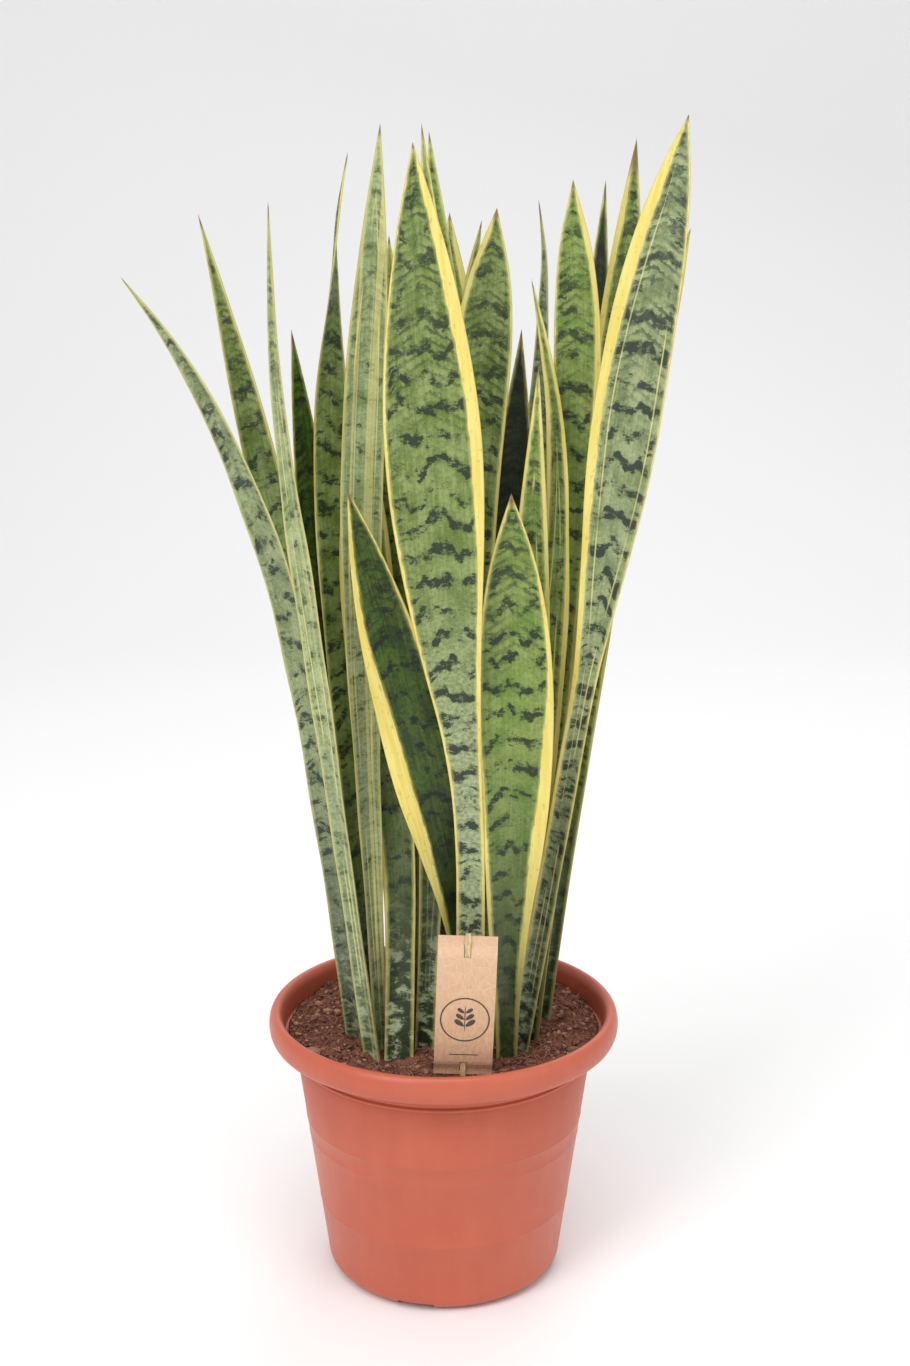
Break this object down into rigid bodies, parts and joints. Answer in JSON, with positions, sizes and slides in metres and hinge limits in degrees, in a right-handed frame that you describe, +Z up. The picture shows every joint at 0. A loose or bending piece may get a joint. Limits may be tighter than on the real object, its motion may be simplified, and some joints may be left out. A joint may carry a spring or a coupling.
{
  "type": "potted snake plant",
  "caption": "Upright variegated snake plant with sword-shaped, yellow-edged leaves in a round terracotta-coloured plastic nursery pot with a card label.",
  "frame": {"origin": "on the surface the pot stands on, at the centre of the flat pad under the pot's floor", "axes": "+Z up along the pot's axis; -Y towards the plant's front, where the label stands; +X to the front view's right"},
  "size_m": [0.425, 0.285, 0.925],
  "materials": {
    "pot_plastic": "satin terracotta-coloured moulded plastic",
    "potting_mix": "matt, fibrous dark reddish-brown potting mix",
    "kraft_card": "matt uncoated kraft card",
    "stick_wood": "bare pale wood",
    "leaf": "waxy satin leaf, green with dark cross-bands and yellow margins"
  },
  "bodies": {
    "root": {"pot": "pot_plastic", "soil": "potting_mix", "tag_card": "kraft_card", "tag_stick": "stick_wood", "leaf_front_tall": "leaf", "leaf_front_right_short": "leaf", "leaf_front_left_short": "leaf", "leaf_right_tall": "leaf", "leaf_far_right": "leaf", "leaf_right_inner_short": "leaf", "leaf_centre_right_twisted": "leaf", "leaf_right_centre_broad": "leaf", "leaf_right_yellow_behind": "leaf", "leaf_right_curled_tip": "leaf", "leaf_right_dark_narrow": "leaf", "leaf_back_thin_grey": "leaf", "leaf_centre_back_broad": "leaf", "leaf_back_centre_narrow": "leaf", "leaf_back_centre_short": "leaf", "leaf_centre_sheath_right": "leaf", "leaf_centre_sheath_left": "leaf", "leaf_behind_centre": "leaf", "leaf_yellow_edge": "leaf", "leaf_left_centre_tall": "leaf", "leaf_left_channel": "leaf", "leaf_left_twisted": "leaf", "leaf_left_dark_tip": "leaf", "leaf_far_left_arching": "leaf", "leaf_left_leaning": "leaf", "leaf_dark_inner": "leaf", "leaf_pale_small": "leaf"}
  },
  "joints": []
}
